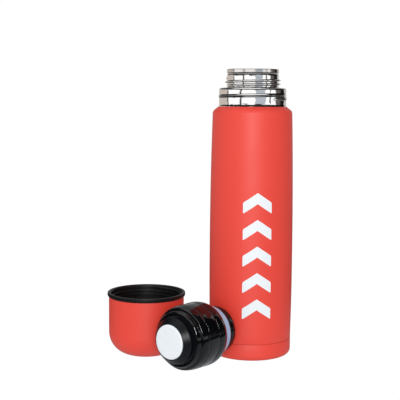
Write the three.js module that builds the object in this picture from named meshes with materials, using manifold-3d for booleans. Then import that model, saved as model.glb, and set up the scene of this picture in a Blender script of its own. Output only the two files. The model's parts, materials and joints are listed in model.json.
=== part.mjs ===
// Double-walled vacuum flask, standing open, with its drinking cup and its push-button stopper.
// Units are millimetres and +Z is up. The origin is the centre of the flask's base, on the table.
// The stopper is drawn upright about its own axis, with z = 0 where its skirt seats on the neck.

import * as THREE from 'three';
import { mergeVertices } from 'three/addons/utils/BufferGeometryUtils.js';
import Module from 'manifold-3d';

const wasm = await Module();
wasm.setup();

// Driving dimensions

const SEGMENTS = 28;
const SMALL_SEGMENTS = 20;
const GAP = 0.3;
const STEEL_WALL = 0.45;

const BODY_RADIUS = 37.2;
const BODY_TAPER = 1.8;
const TAPER_START = 90;
const TAPER_POWER = 2.2;
const FOOT_TUCK = 0.7;
const FOOT_TUCK_TOP = 70;
const FOOT_TUCK_POWER = 1.6;
const SHOULDER_Z = 216.3;
const SHOULDER_RADIUS = 4.4;
const SHOULDER_TOP = 222.6;
const SEAM_Z = 15;
const BASE_RADIUS = 36.5;
const BASE_CORNER = 5;
const SPIGOT_RADIUS = BASE_RADIUS - STEEL_WALL - GAP;

const COLLAR_RADIUS = 29.8;
const COLLAR_TOP = 237;
const LEDGE_Z = 239;
const NECK_RADIUS = 23;
const MOUTH_RADIUS = 21.7;
const RIM_Z = 255.4;
const LIP_SIZE = 0.45;
const LIP_HEIGHT = 3.6;
const NECK_THREAD = { from: 240.2, to: 247.4, pitch: 3.3, height: 1.9, start: 0.44 };
const COLLAR_THREAD = { from: 228.6, to: 233.8, pitch: 3.3, height: 0.9, start: 0.62 };

const LINER_RADIUS = 33;
const LINER_FLOOR = 13.2;
const LINER_SHOULDER = 203;

const CUP_PLACE = [-94, -5, 0];
const CUP_RADIUS = 33.75;
const CUP_HEIGHT = 56;
const CUP_CORNER = 20;
const CUP_BEAD_RADIUS = 35;
const CUP_BEAD_HEIGHT = 3.6;
const CUP_MOUTH = 31.9;
const CUP_THREAD = { from: 43.6, to: 54.2, pitch: 3.3, height: 1.3, start: 0 };

const STOPPER_AZIMUTH = THREE.MathUtils.degToRad(50);
const STOPPER_BUTTON_PLACE = [-71.6, -77.9];
const SKIRT_RADIUS = 27.9;
const SKIRT_BORE = 25.1;
const SKIRT_DEPTH = 17.4;
const SKIRT_THREAD = { from: 2, to: 11.6, pitch: 3.3, height: 0.9, start: 0.5 };
const CAP_SHOULDER = 32.1;
const CAP_RIM = 36.4;
const CAP_TOP = 34;
const PLUG_RADIUS = 20.1;
const PLUG_BOTTOM = -12;
const PLUG_END = -19;
const GASKET_BOTTOM = -10;
const SEAT_Z = -14.3;
const BUTTON_RADIUS = 14.7;
const BUTTON_TOP = 46;
const STEM_RADIUS = 2.5;

const FINISHES = {
  redPaint: { color: 0xee544d, roughness: 0.55, metalness: 0.1 },
  polishedSteel: { color: 0xd6d3cf, roughness: 0.08, metalness: 1 },
  plainSteel: { color: 0xb9babc, roughness: 0.35, metalness: 1 },
  copperFoil: { color: 0xc98a5e, roughness: 0.25, metalness: 1 },
  getterAlloy: { color: 0x77797c, roughness: 0.7, metalness: 0.8 },
  sealGlass: { color: 0x2f4a3a, roughness: 0.2, metalness: 0 },
  glossBlack: { color: 0x141416, roughness: 0.15, metalness: 0 },
  satinBlack: { color: 0x1c1d20, roughness: 0.4, metalness: 0 },
  satinGrey: { color: 0x32373e, roughness: 0.45, metalness: 0 },
  paleSilicone: { color: 0xb9c3d7, roughness: 0.5, metalness: 0 },
  darkRubber: { color: 0x202022, roughness: 0.7, metalness: 0 },
  whitePlastic: { color: 0xf5f8fc, roughness: 0.3, metalness: 0 },
};

// Shape helpers

const point = (radius, z) => new THREE.Vector2(radius, z);

const profile = (pairs) => pairs.map(([radius, z]) => point(radius, z));

// Points round a quarter or part circle, from one angle to the other in degrees.
function arc(radius, z, size, from, to, steps = 3) {
  return Array.from({ length: steps + 1 }, (_, i) => {
    const angle = THREE.MathUtils.degToRad(from + (to - from) * (i / steps));
    return point(radius + size * Math.cos(angle), z + size * Math.sin(angle));
  });
}

// A solid of revolution about Z. An outline runs up its outer wall and down its inner one.
function turned(outline, segments = SEGMENTS) {
  const first = outline[0];
  const last = outline[outline.length - 1];
  const onAxis = first.x === 0 && last.x === 0;
  const closed = onAxis ? outline : [...outline, first.clone()];
  return new THREE.LatheGeometry(closed, segments).rotateX(Math.PI / 2);
}

// Evenly spaced points up or down a straight wall, close enough together to carry a thread.
function threadWall(radius, thread, downward = false) {
  const rows = Math.round((thread.to - thread.from) / (thread.pitch / 4));
  const wall = Array.from({ length: rows + 1 }, (_, i) =>
    point(radius, thread.from + ((thread.to - thread.from) * i) / rows));
  return downward ? wall.reverse() : wall;
}

// Raises helical ridges on the wall of the given radius: outwards, or inwards when side is -1.
function raiseThread(geometry, radius, thread, side = 1) {
  const place = geometry.getAttribute('position');
  const reach = 0.01;
  for (let i = 0; i < place.count; i += 1) {
    const r = Math.hypot(place.getX(i), place.getY(i));
    const z = place.getZ(i);
    const onWall = Math.abs(r - radius) < reach && z > thread.from + reach && z < thread.to - reach;
    if (!onWall) continue;
    const turn = Math.atan2(place.getY(i), place.getX(i)) / (2 * Math.PI);
    const crest = Math.cos(2 * Math.PI * (z / thread.pitch - turn - thread.start));
    const grown = (r + side * thread.height * Math.max(0, crest)) / r;
    place.setXY(i, place.getX(i) * grown, place.getY(i) * grown);
  }
  return closeSeam(geometry);
}

// The last column of a turned shape lies on the first, so it takes exactly the same places.
function closeSeam(geometry) {
  const place = geometry.getAttribute('position');
  const { points, segments } = geometry.parameters;
  for (let j = 0; j < points.length; j += 1) {
    const end = segments * points.length + j;
    place.setXYZ(end, place.getX(j), place.getY(j), place.getZ(j));
  }
  return geometry;
}

// Booleans

function toSolid(geometry) {
  const bare = geometry.clone();
  bare.deleteAttribute('normal');
  bare.deleteAttribute('uv');
  const welded = mergeVertices(bare);
  return new wasm.Manifold(new wasm.Mesh({
    numProp: 3,
    vertProperties: new Float32Array(welded.getAttribute('position').array),
    triVerts: new Uint32Array(welded.getIndex().array),
  }));
}

function toGeometry(solid) {
  const mesh = solid.getMesh();
  const geometry = new THREE.BufferGeometry();
  geometry.setAttribute('position', new THREE.BufferAttribute(mesh.vertProperties, 3));
  geometry.setIndex(new THREE.BufferAttribute(mesh.triVerts, 1));
  geometry.computeVertexNormals();
  return geometry;
}

function cutAway(geometry, cutters) {
  const solid = cutters.reduce((left, cutter) => left.subtract(toSolid(cutter)), toSolid(geometry));
  return toGeometry(solid);
}

function mesh(name, geometry, finish) {
  const piece = new THREE.Mesh(geometry, new THREE.MeshStandardMaterial(FINISHES[finish]));
  piece.name = name;
  return piece;
}

// Flask

const bodyRadiusAt = (z) => {
  const taper = Math.max(0, (z - TAPER_START) / (SHOULDER_Z - TAPER_START));
  const tuck = Math.max(0, (FOOT_TUCK_TOP - z) / (FOOT_TUCK_TOP - SEAM_Z));
  return BODY_RADIUS - BODY_TAPER * taper ** TAPER_POWER - FOOT_TUCK * tuck ** FOOT_TUCK_POWER;
};

const BODY_STATIONS = [SEAM_Z + GAP, 28, 45, FOOT_TUCK_TOP, TAPER_START, 130, 165, 195];

function outerShell() {
  const spigot = SPIGOT_RADIUS;
  const centre = bodyRadiusAt(SHOULDER_Z) - SHOULDER_RADIUS;
  const opening = COLLAR_RADIUS + GAP;
  const outer = BODY_STATIONS.map((z) => point(bodyRadiusAt(z), z));
  const inner = BODY_STATIONS.slice(1).map((z) => point(bodyRadiusAt(z) - STEEL_WALL, z)).reverse();
  return mesh('outer_shell', turned([
    ...profile([[spigot - STEEL_WALL, 6.5], [spigot, 6.5], [spigot, SEAM_Z + GAP]]),
    ...outer,
    ...arc(centre, SHOULDER_Z, SHOULDER_RADIUS, 0, 60),
    ...profile([[opening, SHOULDER_TOP], [opening, SHOULDER_TOP - 0.6]]),
    ...arc(centre, SHOULDER_Z, SHOULDER_RADIUS - STEEL_WALL, 60, 0),
    ...inner,
    ...profile([[spigot - STEEL_WALL, SEAM_Z + 3]]),
  ]), 'redPaint');
}

// The base is a pressed cap over the shell's spigot, with a ring-shaped recess in its foot.
function baseCap() {
  const inner = BASE_RADIUS - STEEL_WALL;
  const corner = BASE_RADIUS - BASE_CORNER;
  const wall = 0.6;
  return mesh('base_cap', turned([
    ...profile([[0, 0], [13, 0], [14.5, 0.7], [25.5, 0.7], [27, 0]]),
    ...arc(corner, BASE_CORNER, BASE_CORNER, -90, 0),
    ...profile([[BASE_RADIUS, SEAM_Z], [inner, SEAM_Z]]),
    ...arc(inner - BASE_CORNER + wall, BASE_CORNER, BASE_CORNER - wall, 0, -90),
    ...profile([[27.3, wall], [25.8, 0.7 + wall], [14.2, 0.7 + wall], [12.7, wall], [0, wall]]),
  ]), 'redPaint');
}

// One drawn sleeve makes the collar for the cup, the ledge and the neck for the stopper.
function neckSleeve() {
  const bore = COLLAR_RADIUS - STEEL_WALL;
  const neckBore = NECK_RADIUS - STEEL_WALL;
  const top = RIM_Z - LIP_HEIGHT - GAP;
  const geometry = turned([
    ...profile([[bore, 219.3], [31.6, 219.3], [31.2, 220], [COLLAR_RADIUS, 220.6]]),
    ...threadWall(COLLAR_RADIUS, COLLAR_THREAD),
    point(COLLAR_RADIUS, COLLAR_TOP),
    ...profile([[29.2, COLLAR_TOP + 1.3], [27.9, LEDGE_Z - 0.1], [NECK_RADIUS, LEDGE_Z + 0.7]]),
    ...threadWall(NECK_RADIUS, NECK_THREAD),
    ...profile([[NECK_RADIUS, top - 0.6], [NECK_RADIUS - 0.2, top], [neckBore, top]]),
    ...profile([[neckBore, LEDGE_Z], [bore - 2, LEDGE_Z - 1.3], [bore, COLLAR_TOP - 0.6]]),
  ]);
  raiseThread(geometry, NECK_RADIUS, NECK_THREAD);
  raiseThread(geometry, COLLAR_RADIUS, COLLAR_THREAD);
  return mesh('neck_sleeve', geometry, 'polishedSteel');
}

// The liner holds the drink. Its lip is rolled outwards into a band over the neck sleeve.
function innerLiner() {
  const outside = MOUTH_RADIUS + STEEL_WALL;
  const band = RIM_Z - LIP_HEIGHT;
  const roll = NECK_RADIUS - LIP_SIZE;
  const bore = LINER_RADIUS - STEEL_WALL;
  return mesh('inner_liner', turned([
    ...profile([[bore, LINER_FLOOR + GAP], [LINER_RADIUS, LINER_FLOOR + GAP]]),
    ...profile([[LINER_RADIUS, LINER_SHOULDER], [LINER_RADIUS - 1.4, 210], [26.4, 216.4]]),
    ...profile([[outside, 221], [outside, band], [roll, band], [NECK_RADIUS, band + LIP_SIZE]]),
    ...arc(roll, RIM_Z - LIP_SIZE, LIP_SIZE, 0, 90, 2),
    ...arc(MOUTH_RADIUS + LIP_SIZE, RIM_Z - LIP_SIZE, LIP_SIZE, 90, 180, 2),
    ...profile([[MOUTH_RADIUS, 220.6], [25.6, 216]]),
    ...profile([[bore - 1.4, 209.7], [bore, LINER_SHOULDER]]),
  ]), 'polishedSteel');
}

function linerBottom() {
  return mesh('liner_bottom', turned(profile([
    [0, 11.2], [20, 11], [30, 11.6], [LINER_RADIUS, LINER_FLOOR],
    [LINER_RADIUS - STEEL_WALL, LINER_FLOOR], [30, 12.3], [20, 11.8], [0, 12],
  ])), 'polishedSteel');
}

function radiationFoil() {
  const inside = LINER_RADIUS + GAP;
  const outside = inside + 0.3;
  return mesh('radiation_foil', turned(profile([
    [inside, 18], [outside, 18], [outside, 200], [inside, 200],
  ])), 'copperFoil');
}

// The welded bottom of the outer wall, dished upwards at its centre round the evacuation hole.
function vacuumBase() {
  const edge = SPIGOT_RADIUS - STEEL_WALL - GAP;
  return mesh('vacuum_base', turned(profile([
    [1.5, 5], [9, 5], [12, 3.2], [28, 3.2], [33.4, 7], [edge, 7], [edge, 10.5],
    [edge - 0.5, 10.5], [edge - 0.5, 7.5], [33.2, 7.5], [27.8, 3.7], [12.4, 3.7], [9.2, 5.5],
    [1.5, 5.5],
  ])), 'plainSteel');
}

function portSeal() {
  return mesh('port_seal', turned(profile([
    [0, 3.4], [2.4, 3.6], [4, 4.7], [1.2, 4.7], [1.2, 5.9], [0, 6.1],
  ]), SMALL_SEGMENTS), 'sealGlass');
}

const GETTER_PLACE = [19, 0, 0];

function getterHolder() {
  const holder = mesh('getter_holder', turned(profile([
    [0, 4.2], [5.4, 4.2], [6, 7], [5.5, 7], [4.9, 4.8], [0, 4.8],
  ]), SMALL_SEGMENTS), 'plainSteel');
  holder.position.set(...GETTER_PLACE);
  return holder;
}

function getterPellet() {
  const pellet = mesh('getter_pellet', turned(profile([
    [0, 5.1], [4.4, 5.1], [4.8, 6.9], [4.3, 7.4], [0, 7.4],
  ]), SMALL_SEGMENTS), 'getterAlloy');
  pellet.position.set(...GETTER_PLACE);
  return pellet;
}

// Cup

function cupShell() {
  const flat = CUP_RADIUS - CUP_CORNER;
  const top = CUP_HEIGHT - CUP_BEAD_HEIGHT - GAP;
  return mesh('cup_shell', turned([
    ...profile([[0, 0.4], [flat - 3, 0.4], [flat - 1.4, 0]]),
    ...arc(flat, CUP_CORNER, CUP_CORNER, -90, 0, 5),
    ...profile([[CUP_RADIUS, top], [CUP_RADIUS - STEEL_WALL, top]]),
    ...arc(flat, CUP_CORNER, CUP_CORNER - STEEL_WALL, 0, -90, 5),
    point(0, 1),
  ]), 'redPaint');
}

// The plastic liner carries the drinking rim and the thread that screws on to the collar.
function cupLiner() {
  const outside = CUP_RADIUS - STEEL_WALL - GAP;
  const flat = CUP_RADIUS - CUP_CORNER;
  const bead = CUP_HEIGHT - CUP_BEAD_HEIGHT;
  const wall = 1.1;
  const floor = CUP_CORNER - STEEL_WALL - GAP;
  const geometry = turned([
    point(0, 1.3 + GAP),
    ...arc(flat, CUP_CORNER, floor, -90, 0, 5),
    ...profile([[outside, bead], [CUP_BEAD_RADIUS - 0.5, bead], [CUP_BEAD_RADIUS, bead + 0.8]]),
    ...profile([[CUP_BEAD_RADIUS, CUP_HEIGHT - 0.7], [CUP_BEAD_RADIUS - 0.5, CUP_HEIGHT]]),
    ...profile([[CUP_MOUTH + 0.9, CUP_HEIGHT - 0.2], [CUP_MOUTH, CUP_HEIGHT - 1.6]]),
    ...threadWall(CUP_MOUTH, CUP_THREAD, true),
    ...arc(flat, CUP_CORNER, floor - wall, 0, -90, 5),
    point(0, 1.3 + GAP + wall),
  ]);
  return mesh('cup_liner', raiseThread(geometry, CUP_MOUTH, CUP_THREAD, -1), 'satinBlack');
}

// Stopper

// The cap's skirt goes over the neck and screws on to its thread. Two rings step in above it.
function stopperCap() {
  const bore = 18.6;
  const chamber = 22.4;
  const geometry = turned([
    ...profile([[SKIRT_BORE, 0], [25.5, 0], [26.6, 1.6], [27.5, 3.8], [SKIRT_RADIUS, 6.4]]),
    ...profile([[SKIRT_RADIUS, 20], [27.5, 26], [26.9, 30.4], [26, CAP_SHOULDER]]),
    ...profile([[24.5, CAP_SHOULDER + 0.5], [24, 34.6], [22.9, CAP_RIM], [22.2, CAP_RIM]]),
    point(21.3, CAP_TOP),
    ...profile([[bore, CAP_TOP], [bore, 31.6], [chamber, 30.4], [chamber, 23], [bore, 21.4]]),
    ...profile([[bore, SKIRT_DEPTH], [SKIRT_BORE, SKIRT_DEPTH]]),
    ...threadWall(SKIRT_BORE, SKIRT_THREAD, true),
  ]);
  return mesh('stopper_cap', raiseThread(geometry, SKIRT_BORE, SKIRT_THREAD, -1), 'glossBlack');
}

// The satin ring round the button: a cone with a thin bead, over the pouring groove.
function topRing() {
  const base = CAP_TOP + GAP;
  const bore = BUTTON_RADIUS + 0.4;
  return mesh('top_ring', turned(profile([
    [bore, base], [20.8, base], [20.8, base + 0.8], [18.4, base + 1.1], [18.4, 38.6],
    [19.6, 39.4], [19.9, 40.2], [19.4, 41], [bore + 0.2, 45], [bore, 44.9],
  ])), 'satinGrey');
}

// The plug fills the neck. Its web is pierced for pouring and guides the stem.
function plugBody() {
  const webRadius = 12.4;
  const outline = turned(profile([
    [STEM_RADIUS + 0.4, 9.5], [18, 9.5], [18, 2], [16.6, 0], [16.6, PLUG_BOTTOM],
    [18.9, PLUG_BOTTOM], [18.9, -1], [PLUG_RADIUS, -1], [PLUG_RADIUS, SKIRT_DEPTH - GAP],
    [18.2, SKIRT_DEPTH - GAP], [18.2, 21], [16.4, 21], [16.4, 12], [6.2, 12], [6.2, 14.8],
    [5.1, 14.8], [5.1, 12.4], [STEM_RADIUS + 0.4, 12.4],
  ]));
  const holes = Array.from({ length: 6 }, (_, i) => {
    const angle = (i * Math.PI) / 3;
    return new THREE.CylinderGeometry(2.6, 2.6, 6, 10)
      .rotateX(Math.PI / 2)
      .translate(webRadius * Math.cos(angle), webRadius * Math.sin(angle), 10.75);
  });
  return mesh('plug_body', cutAway(outline, holes), 'satinBlack');
}

// The seal is a soft tapered sleeve that presses on the inside of the neck.
function neckGasket() {
  return mesh('neck_gasket', turned(profile([
    [19.2, GASKET_BOTTOM], [21.5, GASKET_BOTTOM], [21.9, -9.4], [22.2, -6.5], [22.8, -3.4],
    [22.6, -2], [22, -1.4], [19.2, -1.4],
  ])), 'paleSilicone');
}

function plugEndCap() {
  const socket = 19.2;
  const seat = 9.4;
  const skirt = 17.6;
  const top = GASKET_BOTTOM - GAP;
  return mesh('plug_end_cap', turned(profile([
    [skirt, PLUG_END], [PLUG_RADIUS - 0.8, PLUG_END], [PLUG_RADIUS, PLUG_END + 0.8],
    [PLUG_RADIUS, top], [socket, top], [socket, PLUG_BOTTOM - GAP], [seat, PLUG_BOTTOM - GAP],
    [seat, SEAT_Z], [skirt, SEAT_Z],
  ])), 'satinBlack');
}

// At rest the valve stands inside the plug's end, so that it stays clear of the table and flask.
function valveDisc() {
  const face = SEAT_Z - 1.45;
  return mesh('valve_disc', turned(profile([
    [0, face - 1.45], [10.6, face - 1.45], [11.4, face - 0.65], [11.4, face], [4.6, face],
    [4.6, -9], [2.9, -9], [2.9, -14.8], [0, -14.8],
  ]), SMALL_SEGMENTS), 'satinBlack');
}

function valveSeal() {
  return mesh('valve_seal', turned(profile([
    [5, SEAT_Z - 1.15], [11.4, SEAT_Z - 1.15], [11.4, SEAT_Z - 0.35], [5, SEAT_Z - 0.35],
  ]), SMALL_SEGMENTS), 'paleSilicone');
}

function valveStem() {
  return mesh('valve_stem', turned(profile([
    [0, -14.5], [STEM_RADIUS - 0.4, -14.5], [STEM_RADIUS, -14], [STEM_RADIUS, 40.2],
    [STEM_RADIUS - 0.4, 40.7], [0, 40.7],
  ]), 12), 'plainSteel');
}

function stemSeal() {
  return mesh('stem_o_ring', turned(arc(3.95, 13.4, 0.8, 0, 300, 5), SMALL_SEGMENTS), 'darkRubber');
}

function springSeat() {
  return mesh('spring_seat', turned(profile([
    [STEM_RADIUS + 0.7, 15.1], [8.2, 15.1], [8.2, 16], [STEM_RADIUS + 0.7, 16],
  ]), SMALL_SEGMENTS), 'plainSteel');
}

class HelixCurve extends THREE.Curve {
  constructor(radius, turns, from, to) {
    super();
    Object.assign(this, { radius, turns, from, to });
  }

  getPoint(t) {
    const angle = 2 * Math.PI * this.turns * t;
    const z = this.from + (this.to - this.from) * t;
    return new THREE.Vector3(this.radius * Math.cos(angle), this.radius * Math.sin(angle), z);
  }
}

function returnSpring() {
  const turns = 7;
  const wire = 0.6;
  const path = new HelixCurve(6.6, turns, 17.2, 42);
  const section = new THREE.Shape(profile([0, 1, 2, 3, 4].map((i) => {
    const angle = (i * 2 * Math.PI) / 5;
    return [wire * Math.cos(angle), wire * Math.sin(angle)];
  })));
  const options = { steps: turns * 12, bevelEnabled: false, extrudePath: path };
  return mesh('return_spring', new THREE.ExtrudeGeometry(section, options), 'plainSteel');
}

// The button is a domed shell on a centre boss, held in by the flange under the top ring.
function pushButton() {
  const wall = 1.6;
  return mesh('push_button', turned([
    ...profile([[BUTTON_RADIUS - wall, 32], [17, 32], [17, 33.8], [BUTTON_RADIUS, 33.8]]),
    ...profile([[BUTTON_RADIUS, 44.7], [14.4, 45.3], [13.4, 45.7], [8, 45.9]]),
    ...profile([[3.4, BUTTON_TOP], [2.4, 45.5], [0, 45.3]]),
    ...profile([[0, 41.2], [2.9, 41.2], [2.9, 35], [4.6, 35], [4.6, 43.2]]),
    point(BUTTON_RADIUS - wall, 43.2),
  ]), 'whitePlastic');
}

function makeFlask() {
  const group = new THREE.Group();
  group.add(outerShell(), baseCap(), neckSleeve(), innerLiner(), linerBottom());
  group.add(radiationFoil(), vacuumBase(), portSeal(), getterHolder(), getterPellet());
  return group;
}

function makeCup() {
  const group = new THREE.Group();
  group.add(cupShell(), cupLiner());
  group.position.set(...CUP_PLACE);
  return group;
}

// The stopper lies on its skirt with the button end towards -X and -Y.
function makeStopper() {
  const group = new THREE.Group();
  group.add(stopperCap(), topRing(), plugBody(), neckGasket(), plugEndCap());
  group.add(valveDisc(), valveSeal(), valveStem(), stemSeal(), springSeat());
  group.add(returnSpring(), pushButton());
  const [x, y] = STOPPER_BUTTON_PLACE;
  const along = BUTTON_TOP;
  const lift = SKIRT_RADIUS;
  group.position.set(
    x + along * Math.cos(STOPPER_AZIMUTH),
    y + along * Math.sin(STOPPER_AZIMUTH),
    lift,
  );
  group.rotation.set(0, -Math.PI / 2, STOPPER_AZIMUTH, 'ZYX');
  return group;
}

const vacuumFlask = new THREE.Group();
vacuumFlask.add(makeFlask(), makeCup(), makeStopper());

export default vacuumFlask;
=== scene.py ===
"""Vacuum flask with its drinking cup and push-button stopper: fine pieces, finishes and stage."""

import json
import math

import bpy
from mathutils import Matrix, Vector


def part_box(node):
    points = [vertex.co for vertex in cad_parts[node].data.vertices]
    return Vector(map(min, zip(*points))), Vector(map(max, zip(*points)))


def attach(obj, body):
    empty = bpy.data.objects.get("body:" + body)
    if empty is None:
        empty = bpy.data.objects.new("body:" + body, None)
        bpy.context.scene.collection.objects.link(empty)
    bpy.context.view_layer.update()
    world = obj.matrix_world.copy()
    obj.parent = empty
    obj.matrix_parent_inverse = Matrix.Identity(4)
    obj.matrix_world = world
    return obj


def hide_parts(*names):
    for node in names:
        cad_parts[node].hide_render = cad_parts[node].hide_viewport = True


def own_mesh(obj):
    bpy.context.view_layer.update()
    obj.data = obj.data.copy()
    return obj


bl_info = {
    "name": "Vacuum flask",
    "version": (1, 0, 0),
    "blender": (4, 5, 0),
    "location": "View3D > Sidebar > Flask",
    "description": "Builds a steel vacuum flask with its drinking cup and push-button stopper",
    "category": "Add Mesh",
}

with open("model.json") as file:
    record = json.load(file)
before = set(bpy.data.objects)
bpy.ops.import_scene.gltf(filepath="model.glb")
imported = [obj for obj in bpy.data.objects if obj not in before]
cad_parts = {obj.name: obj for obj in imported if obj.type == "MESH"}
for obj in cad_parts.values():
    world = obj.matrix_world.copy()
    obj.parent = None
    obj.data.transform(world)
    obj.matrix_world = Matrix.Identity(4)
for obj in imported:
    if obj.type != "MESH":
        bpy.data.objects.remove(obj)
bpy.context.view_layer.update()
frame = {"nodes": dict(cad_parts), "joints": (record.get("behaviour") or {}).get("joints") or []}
MM = 0.001
THREAD_PITCH = 3.3

SHELL_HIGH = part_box("outer_shell")[1]
LINER_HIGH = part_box("inner_liner")[1]
CUP_LOW, CUP_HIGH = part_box("cup_liner")
CAP_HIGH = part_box("stopper_cap")[1]
PRESS_AXIS = next(joint["axis"] for joint in frame["joints"] if joint["name"] == "button_press")


# Outlines: points of (radius, height) in millimetres, up the outer wall and down the inner one

def arc(radius, height, size, start, end, steps=8):
    """Points round part of a circle, from one angle to the other in degrees."""
    points = []
    for i in range(steps + 1):
        angle = math.radians(start + (end - start) * i / steps)
        points.append((radius + size * math.cos(angle), height + size * math.sin(angle)))
    return points


def rows(radius, start, end, spacing):
    """Evenly spaced points along a straight wall, close enough together to carry a ridge."""
    count = max(1, round(abs(end - start) / spacing))
    return [(radius, start + (end - start) * i / count) for i in range(count + 1)]


def eased(outline, size=0.25, sharp=18):
    """Rounds each corner of an outline that turns by more than the given angle in degrees."""
    points = [outline[0]]
    for before, corner, after in zip(outline, outline[1:], outline[2:]):
        back = Vector(before) - Vector(corner)
        ahead = Vector(after) - Vector(corner)
        if back.length < 1e-6 or ahead.length < 1e-6:
            continue
        turn = 180 - math.degrees(back.angle(ahead))
        if turn < sharp:
            points.append(corner)
            continue
        cut = min(size, 0.4 * back.length, 0.4 * ahead.length)
        first = Vector(corner) + back.normalized() * cut
        last = Vector(corner) + ahead.normalized() * cut
        middle = (first + last) * 0.25 + Vector(corner) * 0.5
        points += [tuple(first), tuple(middle), tuple(last)]
    return points + [outline[-1]]


# Modelling

def deselect():
    if bpy.context.object and bpy.context.object.mode != "OBJECT":
        bpy.ops.object.mode_set(mode="OBJECT")
    bpy.ops.object.select_all(action="DESELECT")


def use(piece):
    deselect()
    piece.select_set(True)
    bpy.context.view_layer.objects.active = piece


def apply_all(piece):
    """Applies the piece's modifiers in order."""
    use(piece)
    for modifier in list(piece.modifiers):
        bpy.ops.object.modifier_apply(modifier=modifier.name)


def settle(piece):
    """Puts the piece's place and turn into its mesh, so that its object sits at the origin."""
    use(piece)
    bpy.ops.object.transform_apply(location=True, rotation=True, scale=True)


def turned(name, outline, steps=128, smooth=34):
    """Draws the outline point by point from a single vertex, spins it and closes its seam."""
    deselect()
    bpy.ops.mesh.primitive_plane_add(size=MM)
    piece = bpy.context.object
    piece.name = piece.data.name = name
    bpy.ops.object.mode_set(mode="EDIT")
    bpy.ops.mesh.select_all(action="SELECT")
    bpy.ops.mesh.merge(type="CENTER")
    radius, height = outline[0]
    bpy.ops.transform.translate(value=(radius * MM, 0, height * MM))
    for (radius, height), (next_radius, next_height) in zip(outline, outline[1:]):
        step = ((next_radius - radius) * MM, 0, (next_height - height) * MM)
        bpy.ops.mesh.extrude_vertices_move(TRANSFORM_OT_translate={"value": step})
    bpy.ops.mesh.select_all(action="SELECT")
    bpy.ops.mesh.spin(steps=steps, angle=math.tau, center=(0, 0, 0), axis=(0, 0, 1))
    bpy.ops.mesh.select_all(action="SELECT")
    bpy.ops.mesh.remove_doubles(threshold=0.002 * MM)
    bpy.ops.mesh.normals_make_consistent(inside=False)
    bpy.ops.object.mode_set(mode="OBJECT")
    use(piece)
    bpy.ops.object.shade_smooth_by_angle(angle=math.radians(smooth))
    return piece


def closed(outline):
    """The outline with its first point again at its end."""
    return outline + [outline[0]]


def raise_ridge(piece, height, weight):
    """Raises the surface along its normals by height in millimetres times weight(x, y, z)."""
    group = piece.vertex_groups.new(name="ridge")
    for vertex in piece.data.vertices:
        x, y, z = vertex.co / MM
        amount = weight(x, y, z)
        if amount > 0:
            group.add([vertex.index], min(1, amount), "REPLACE")
    use(piece)
    bpy.ops.object.modifier_add(type="DISPLACE")
    displace = piece.modifiers[-1]
    displace.strength = height * MM
    displace.mid_level = 0
    displace.vertex_group = group.name
    apply_all(piece)
    piece.vertex_groups.clear()


def helix(wall, low, high, start, width, flank=0.5, runout=0.08):
    """How high a thread stands at each place on the wall of that radius.

    Its crest runs from the low height to the high one, width is half of the ridge's width, flank
    is the width of each sloping side, and the ridge dies away over runout turns at both ends.
    """
    def weight(x, y, z):
        if abs(math.hypot(x, y) - wall) > 0.02:
            return 0
        turn = math.atan2(y, x) / math.tau + start
        crest = THREAD_PITCH * (math.ceil(low / THREAD_PITCH - turn) + turn)
        best = 0
        while crest <= high:
            if abs(z - crest) < width:
                ends = min(1, min(crest - low, high - crest) / (runout * THREAD_PITCH))
                rise = min(1, (width - abs(z - crest)) / flank)
                best = max(best, ends * rise * rise * (3 - 2 * rise))
            crest += THREAD_PITCH
        return best
    return weight


def finish_piece(piece, body, material, slot, *nodes):
    """Gives a finished piece its material and its body, and hides the parts that it stands for."""
    piece.data.materials.clear()
    piece.data.materials.append(material)
    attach(piece, body)
    if nodes:
        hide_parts(*nodes)


# Material groups and helpers

def feed(tree, node, inputs):
    """Gives a node's sockets their values: an output is linked, anything else is a constant."""
    for socket, value in inputs.items():
        if isinstance(value, bpy.types.NodeSocket):
            tree.links.new(value, node.inputs[socket])
        else:
            node.inputs[socket].default_value = value


def add(tree, kind, inputs=(), **values):
    """Adds a node with what goes into its sockets; values are its settings or constants."""
    node = tree.nodes.new(kind)
    for key, value in values.items():
        if hasattr(node, key):
            setattr(node, key, value)
        else:
            node.inputs[key.replace("_", " ").title()].default_value = value
    feed(tree, node, dict(inputs))
    return node


def new_group(name, inputs, outputs):
    tree = bpy.data.node_groups.new(name, "ShaderNodeTree")
    for socket, kind, value in inputs:
        made = tree.interface.new_socket(name=socket, in_out="INPUT", socket_type=kind)
        if value is not None:
            made.default_value = value
    for socket, kind in outputs:
        tree.interface.new_socket(name=socket, in_out="OUTPUT", socket_type=kind)
    return tree, tree.nodes.new("NodeGroupInput"), tree.nodes.new("NodeGroupOutput")


def grain_group():
    """Fine moulded or sprayed grain: a height that changes over the surface."""
    tree, source, result = new_group(
        "Fine grain",
        [("Vector", "NodeSocketVector", None), ("Scale", "NodeSocketFloat", 2000.0)],
        [("Height", "NodeSocketFloat")],
    )
    place = {"Vector": source.outputs["Vector"], "Scale": source.outputs["Scale"]}
    noise = add(tree, "ShaderNodeTexNoise", place, detail=3.0, roughness=0.6)
    cells = add(tree, "ShaderNodeTexVoronoi", place)
    blend = add(tree, "ShaderNodeMath", {
        0: noise.outputs["Fac"], 1: 0.6, 2: cells.outputs["Distance"],
    }, operation="MULTIPLY_ADD")
    feed(tree, result, {"Height": blend.outputs[0]})
    return tree


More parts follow.
